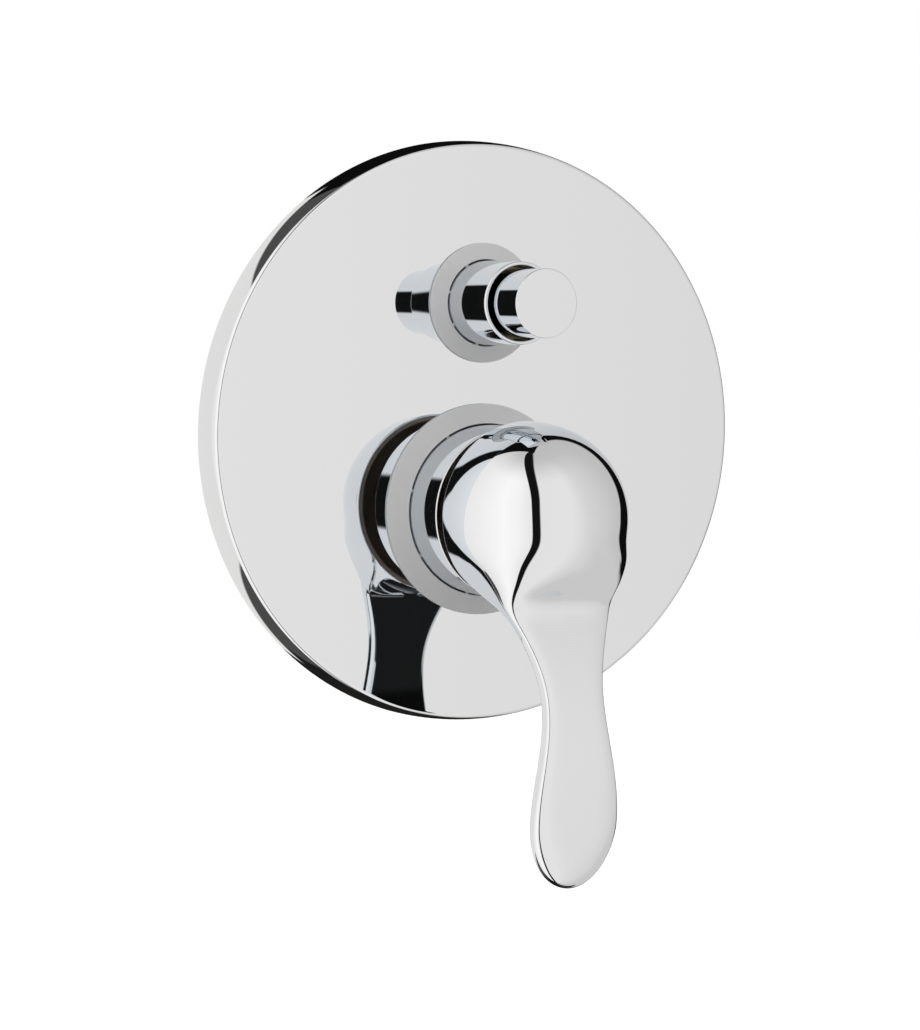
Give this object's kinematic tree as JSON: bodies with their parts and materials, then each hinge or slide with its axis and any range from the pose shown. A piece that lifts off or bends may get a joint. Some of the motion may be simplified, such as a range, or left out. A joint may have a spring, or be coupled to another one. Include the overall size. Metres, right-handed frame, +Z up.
{
  "type": "concealed shower mixer",
  "caption": "Concealed single-lever shower and bath mixer with a round chrome cover plate, a curved handle and a pull-out diverter knob.",
  "frame": {"origin": "centre of the round cover plate, on the plane of the finished wall", "axes": "+Z up, the plate and its handle face -Y, the valve body reaches +Y into the wall"},
  "size_m": [0.17, 0.1242, 0.2096],
  "materials": {
    "chrome_plate": "polished chrome plate on pressed brass",
    "chrome_handle": "polished chrome plate on a hollow casting",
    "chrome_tube": "polished chrome plate on turned brass",
    "grey_rubber": "soft translucent light grey rubber, satin",
    "black_rubber": "matt black rubber",
    "cast_brass": "sand cast brass with machined faces",
    "turned_brass": "turned brass with fine tool marks",
    "steel": "bright stainless steel",
    "white_acetal": "moulded white acetal",
    "dark_nylon": "moulded dark nylon",
    "alumina": "lapped white alumina ceramic"
  },
  "bodies": {
    "valve": {"cover_plate": "chrome_plate", "wall_seal": "black_rubber", "lever_gasket": "grey_rubber", "diverter_gasket": "grey_rubber", "lever_sleeve": "chrome_tube", "lever_sleeve_oring": "black_rubber", "diverter_sleeve": "chrome_tube", "diverter_sleeve_oring": "black_rubber", "valve_body": "cast_brass", "cartridge_nut": "turned_brass", "cartridge_housing": "white_acetal", "cartridge_base": "dark_nylon", "base_seals": "black_rubber", "fixed_disc": "alumina", "turret_oring": "black_rubber", "diverter_bonnet": "turned_brass", "bonnet_orings": "black_rubber", "rod_orings": "black_rubber", "diverter_spring": "steel"},
    "turret": {"turret": "white_acetal", "pivot_pin": "steel"},
    "disc": {"moving_disc": "alumina", "disc_carrier": "dark_nylon"},
    "lever": {"lever_spindle": "turned_brass", "lever_handle": "chrome_handle", "handle_screw": "steel", "handle_plug": "dark_nylon"},
    "knob": {"diverter_rod": "steel", "diverter_piston": "turned_brass", "piston_washers": "black_rubber", "diverter_knob": "chrome_tube"}
  },
  "joints": [
    {"name": "lever_turn", "type": "hinge", "parent": "valve", "child": "turret", "pos_m": [0, -0.0135, -0.0222], "axis": [0, 1, 0], "range_deg": [-45, 45]},
    {"name": "lever_lift", "type": "hinge", "parent": "turret", "child": "lever", "pos_m": [0, -0.0135, -0.0222], "axis": [-1, 0, 0], "range_deg": [0, 25]},
    {"name": "disc_slide", "type": "slide", "parent": "turret", "child": "disc", "axis": [0, 0, -1], "range_m": [0, 0.0048]},
    {"name": "knob_pull", "type": "slide", "parent": "valve", "child": "knob", "axis": [0, -1, 0], "range_m": [0, 0.0076], "stiffness_N_per_m": 600, "springref_m": -0.004, "deforming": ["diverter_spring"]}
  ],
  "couplings": [
    {"joint": "disc_slide", "follows": "lever_lift", "m_per_rad": 0.01065}
  ]
}
